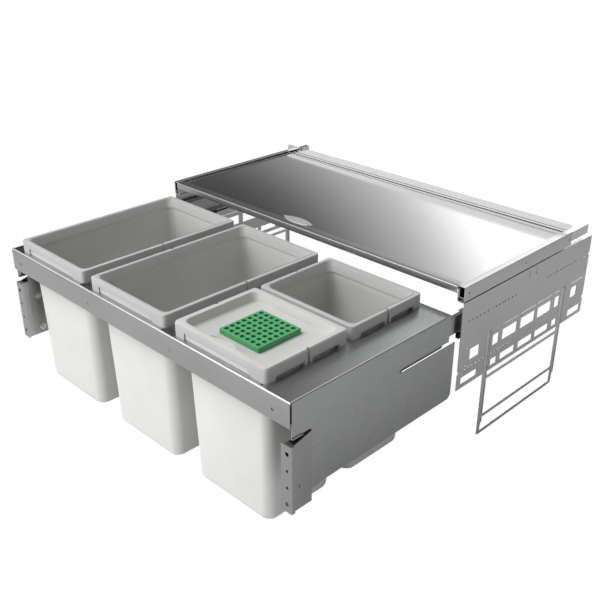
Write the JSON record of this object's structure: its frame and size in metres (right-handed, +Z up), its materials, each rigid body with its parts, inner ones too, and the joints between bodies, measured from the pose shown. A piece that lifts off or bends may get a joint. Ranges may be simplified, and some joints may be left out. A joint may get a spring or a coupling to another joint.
{
  "type": "pull out trash cabinet",
  "caption": "Pull-out waste bin drawer for a kitchen base cabinet, shown open: framed bins, lid with odour filter, telescopic slides, perforated side plates and a sliding cover tray.",
  "frame": {"origin": "middle of the open unit's footprint, at the level of the cabinet's floor", "axes": "+X to the right as seen from the front, +Y from the front of the open drawer to the back of the cabinet, +Z up"},
  "size_m": [0.864, 0.928, 0.387],
  "materials": {
    "plate_steel": "satin",
    "panel_steel": "brushed",
    "tray_steel": "brushed",
    "zinc_steel": "zinc plated",
    "cage_steel": "plain",
    "black_plastic": "smooth",
    "bin_plastic": "smooth",
    "rim_plastic": "smooth",
    "lid_plastic": "smooth",
    "filter_pad": "fibrous",
    "badge_metal": "satin"
  },
  "bodies": {
    "cabinet_side": {"side_plate_left": "plate_steel", "side_plate_right": "plate_steel", "runner_hooks_left": "plate_steel", "runner_hooks_right": "plate_steel", "tray_runner_left": "plate_steel", "tray_runner_right": "plate_steel", "slide_bracket_left": "plate_steel", "slide_bracket_right": "plate_steel", "cabinet_slide_left": "zinc_steel", "cabinet_slide_right": "zinc_steel", "soft_close_damper_left": "black_plastic", "soft_close_damper_right": "black_plastic"},
    "tray": {"tray_rail_left": "plate_steel", "tray_rail_right": "plate_steel", "tray_sheet": "tray_steel", "tray_badge": "badge_metal", "tray_rivets": "zinc_steel"},
    "support_left": {"support_frame_left": "plate_steel"},
    "support_right": {"support_frame_right": "plate_steel"},
    "drawer": {"front_rail": "plate_steel", "side_panel_left": "panel_steel", "side_panel_right": "panel_steel", "cross_bar_left": "panel_steel", "cross_bar_right": "panel_steel", "rear_beam": "panel_steel", "slide_carrier_left": "panel_steel", "slide_carrier_right": "panel_steel", "drawer_slide_left": "zinc_steel", "drawer_slide_right": "zinc_steel", "front_bracket_left": "plate_steel", "front_bracket_right": "plate_steel", "bracket_screws_left": "zinc_steel", "bracket_screws_right": "zinc_steel"},
    "outer_cage_left": {"outer_ball_cage_left": "cage_steel"},
    "outer_cage_right": {"outer_ball_cage_right": "cage_steel"},
    "middle_left": {"middle_slide_left": "zinc_steel"},
    "middle_right": {"middle_slide_right": "zinc_steel"},
    "inner_cage_left": {"inner_ball_cage_left": "cage_steel"},
    "inner_cage_right": {"inner_ball_cage_right": "cage_steel"},
    "bin_large_left": {"large_bin_left": "bin_plastic"},
    "bin_large_middle": {"large_bin_middle": "bin_plastic"},
    "bin_small_front": {"small_bin_front": "bin_plastic"},
    "bin_small_back": {"small_bin_back": "bin_plastic"},
    "rim_large_left": {"large_rim_left": "rim_plastic"},
    "rim_large_middle": {"large_rim_middle": "rim_plastic"},
    "rim_small_front": {"small_rim_front": "rim_plastic"},
    "rim_small_back": {"small_rim_back": "rim_plastic"},
    "lid": {"bin_lid": "lid_plastic"},
    "filter": {"odour_filter": "filter_pad"}
  },
  "joints": [
    {"name": "drawer_pull", "type": "slide", "parent": "cabinet_side", "child": "drawer", "axis": [0, -1, 0], "range_m": [-0.42, 0]},
    {"name": "outer_cage_left_roll", "type": "slide", "parent": "cabinet_side", "child": "outer_cage_left", "axis": [0, -1, 0], "range_m": [-0.105, 0]},
    {"name": "middle_left_slide", "type": "slide", "parent": "cabinet_side", "child": "middle_left", "axis": [0, -1, 0], "range_m": [-0.21, 0]},
    {"name": "inner_cage_left_roll", "type": "slide", "parent": "cabinet_side", "child": "inner_cage_left", "axis": [0, -1, 0], "range_m": [-0.315, 0]},
    {"name": "support_left_slide", "type": "slide", "parent": "cabinet_side", "child": "support_left", "axis": [0, 0, -1], "range_m": [0, 0.06]},
    {"name": "outer_cage_right_roll", "type": "slide", "parent": "cabinet_side", "child": "outer_cage_right", "axis": [0, -1, 0], "range_m": [-0.105, 0]},
    {"name": "middle_right_slide", "type": "slide", "parent": "cabinet_side", "child": "middle_right", "axis": [0, -1, 0], "range_m": [-0.21, 0]},
    {"name": "inner_cage_right_roll", "type": "slide", "parent": "cabinet_side", "child": "inner_cage_right", "axis": [0, -1, 0], "range_m": [-0.315, 0]},
    {"name": "support_right_slide", "type": "slide", "parent": "cabinet_side", "child": "support_right", "axis": [0, 0, -1], "range_m": [0, 0.06]},
    {"name": "tray_slide", "type": "slide", "parent": "cabinet_side", "child": "tray", "axis": [0, 1, 0], "range_m": [-0.2, 0]},
    {"name": "bin_large_left_lift", "type": "slide", "parent": "drawer", "child": "bin_large_left", "axis": [0, 0, 1], "range_m": [0, 0.34]},
    {"name": "bin_large_middle_lift", "type": "slide", "parent": "drawer", "child": "bin_large_middle", "axis": [0, 0, 1], "range_m": [0, 0.34]},
    {"name": "bin_small_front_lift", "type": "slide", "parent": "drawer", "child": "bin_small_front", "axis": [0, 0, 1], "range_m": [0, 0.34]},
    {"name": "bin_small_back_lift", "type": "slide", "parent": "drawer", "child": "bin_small_back", "axis": [0, 0, 1], "range_m": [0, 0.34]},
    {"name": "rim_large_left_lift", "type": "slide", "parent": "bin_large_left", "child": "rim_large_left", "axis": [0, 0, 1], "range_m": [0, 0.05]},
    {"name": "rim_large_middle_lift", "type": "slide", "parent": "bin_large_middle", "child": "rim_large_middle", "axis": [0, 0, 1], "range_m": [0, 0.05]},
    {"name": "rim_small_front_lift", "type": "slide", "parent": "bin_small_front", "child": "rim_small_front", "axis": [0, 0, 1], "range_m": [0, 0.05]},
    {"name": "rim_small_back_lift", "type": "slide", "parent": "bin_small_back", "child": "rim_small_back", "axis": [0, 0, 1], "range_m": [0, 0.05]},
    {"name": "lid_lift", "type": "slide", "parent": "rim_small_front", "child": "lid", "axis": [0, 0, 1], "range_m": [0, 0.1]},
    {"name": "filter_lift", "type": "slide", "parent": "lid", "child": "filter", "axis": [0, 0, 1], "range_m": [0, 0.05]}
  ],
  "couplings": [
    {"joint": "outer_cage_left_roll", "follows": "drawer_pull", "ratio": 0.25},
    {"joint": "middle_left_slide", "follows": "drawer_pull", "ratio": 0.5},
    {"joint": "inner_cage_left_roll", "follows": "drawer_pull", "ratio": 0.75},
    {"joint": "outer_cage_right_roll", "follows": "drawer_pull", "ratio": 0.25},
    {"joint": "middle_right_slide", "follows": "drawer_pull", "ratio": 0.5},
    {"joint": "inner_cage_right_roll", "follows": "drawer_pull", "ratio": 0.75}
  ]
}
